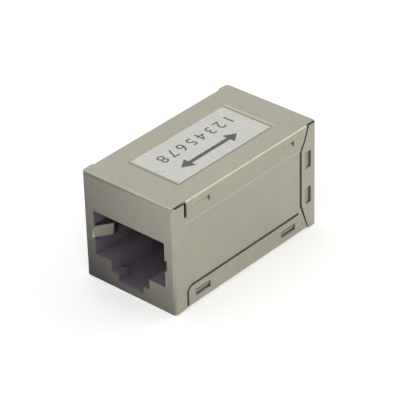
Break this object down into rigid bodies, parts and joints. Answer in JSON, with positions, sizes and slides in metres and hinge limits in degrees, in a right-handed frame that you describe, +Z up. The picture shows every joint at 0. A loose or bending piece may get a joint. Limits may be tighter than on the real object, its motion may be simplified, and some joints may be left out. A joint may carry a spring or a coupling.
{
  "type": "shielded inline coupler",
  "caption": "Shielded inline coupler that joins two network leads end to end: a folded, nickel-plated sheet can with a modular jack in each end and a pale label on top",
  "frame": {"origin": "middle of the underside, on the face that it rests on", "axes": "+Z up, +Y along the length with the front port facing -Y, +X to the right of the front port"},
  "size_m": [0.0154, 0.0278, 0.0157],
  "materials": {
    "front_shell_metal": "satin nickel plate",
    "rear_shell_metal": "satin nickel plate",
    "board": "solder mask",
    "label_film": "matt printed film",
    "housing_plastic": "moulded",
    "carrier_plastic": "moulded",
    "contact_metal": "gold flash"
  },
  "bodies": {
    "root": {"front_shell": "front_shell_metal", "rear_shell": "rear_shell_metal", "circuit_board": "board", "label": "label_film", "front_housing": "housing_plastic", "rear_housing": "housing_plastic", "front_contact_carrier": "carrier_plastic", "rear_contact_carrier": "carrier_plastic", "contact_front_1": "contact_metal", "contact_front_2": "contact_metal", "contact_front_3": "contact_metal", "contact_front_4": "contact_metal", "contact_front_5": "contact_metal", "contact_front_6": "contact_metal", "contact_front_7": "contact_metal", "contact_front_8": "contact_metal", "contact_rear_1": "contact_metal", "contact_rear_2": "contact_metal", "contact_rear_3": "contact_metal", "contact_rear_4": "contact_metal", "contact_rear_5": "contact_metal", "contact_rear_6": "contact_metal", "contact_rear_7": "contact_metal", "contact_rear_8": "contact_metal"}
  },
  "joints": []
}
